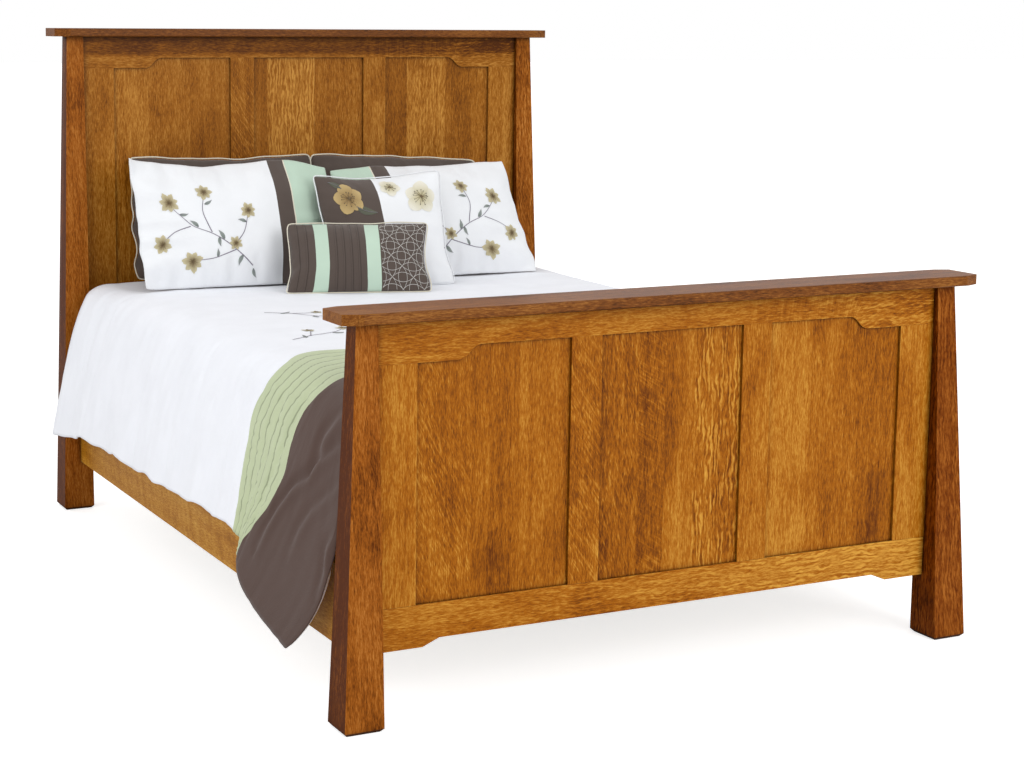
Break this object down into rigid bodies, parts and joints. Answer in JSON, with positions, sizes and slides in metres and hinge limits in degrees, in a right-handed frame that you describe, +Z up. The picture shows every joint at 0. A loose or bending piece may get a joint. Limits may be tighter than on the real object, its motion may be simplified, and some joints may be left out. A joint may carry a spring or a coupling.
{
  "type": "panel bed",
  "caption": "Queen size panel bed with frame-and-panel head and foot, tapered posts, cap boards and hook-on side rails, made up with mattress, comforter and pillows.",
  "frame": {"origin": "on the floor, under the middle of the bed's bounding box", "axes": "+X across the bed to the right of someone who looks from the foot to the head, +Y from the footboard to the headboard, +Z up"},
  "size_m": [1.7934, 2.298, 1.5],
  "materials": {
    "oak": "satin lacquer over stained quartersawn oak",
    "oak_dark": "satin lacquer over darker stained oak",
    "slat_wood": "plain planed hardwood",
    "leveler_rubber": "black, matte",
    "zinc_steel": "zinc plated",
    "ticking": "woven cover",
    "comforter_cotton": "white cotton with a green pintucked band and brown ends",
    "white_cotton": "white cotton",
    "brown_cotton": "dark brown cotton"
  },
  "bodies": {
    "root": {"footboard_post_left": "oak_dark", "footboard_post_right": "oak_dark", "footboard_cap": "oak_dark", "footboard_top_rail": "oak", "footboard_bottom_rail": "oak", "footboard_stile_left": "oak", "footboard_stile_right": "oak", "footboard_mullion_left": "oak", "footboard_mullion_right": "oak", "footboard_panel_left": "oak", "footboard_panel_center": "oak", "footboard_panel_right": "oak", "headboard_post_left": "oak_dark", "headboard_post_right": "oak_dark", "headboard_cap": "oak_dark", "headboard_top_rail": "oak", "headboard_bottom_rail": "oak", "headboard_stile_left": "oak", "headboard_stile_right": "oak", "headboard_mullion_left": "oak", "headboard_mullion_right": "oak", "headboard_panel_left": "oak", "headboard_panel_center": "oak", "headboard_panel_right": "oak", "side_rail_left": "oak", "side_rail_right": "oak", "slat_ledger_left": "slat_wood", "slat_ledger_right": "slat_wood", "slat_1": "slat_wood", "slat_2": "slat_wood", "slat_3": "slat_wood", "slat_4": "slat_wood", "slat_5": "slat_wood", "support_leg_1": "slat_wood", "support_leg_2": "slat_wood", "support_leg_3": "slat_wood", "leg_levelers": "leveler_rubber", "rail_hook_plates": "zinc_steel", "post_receiver_plates": "zinc_steel", "plate_screws": "zinc_steel", "ledger_screws": "zinc_steel", "slat_screws": "zinc_steel", "box_spring": "ticking", "mattress": "ticking", "comforter": "comforter_cotton", "back_sham_left": "brown_cotton", "back_sham_right": "brown_cotton", "front_sham_left": "white_cotton", "front_sham_right": "white_cotton", "square_cushion": "brown_cotton", "lumbar_pillow": "brown_cotton"}
  },
  "joints": []
}
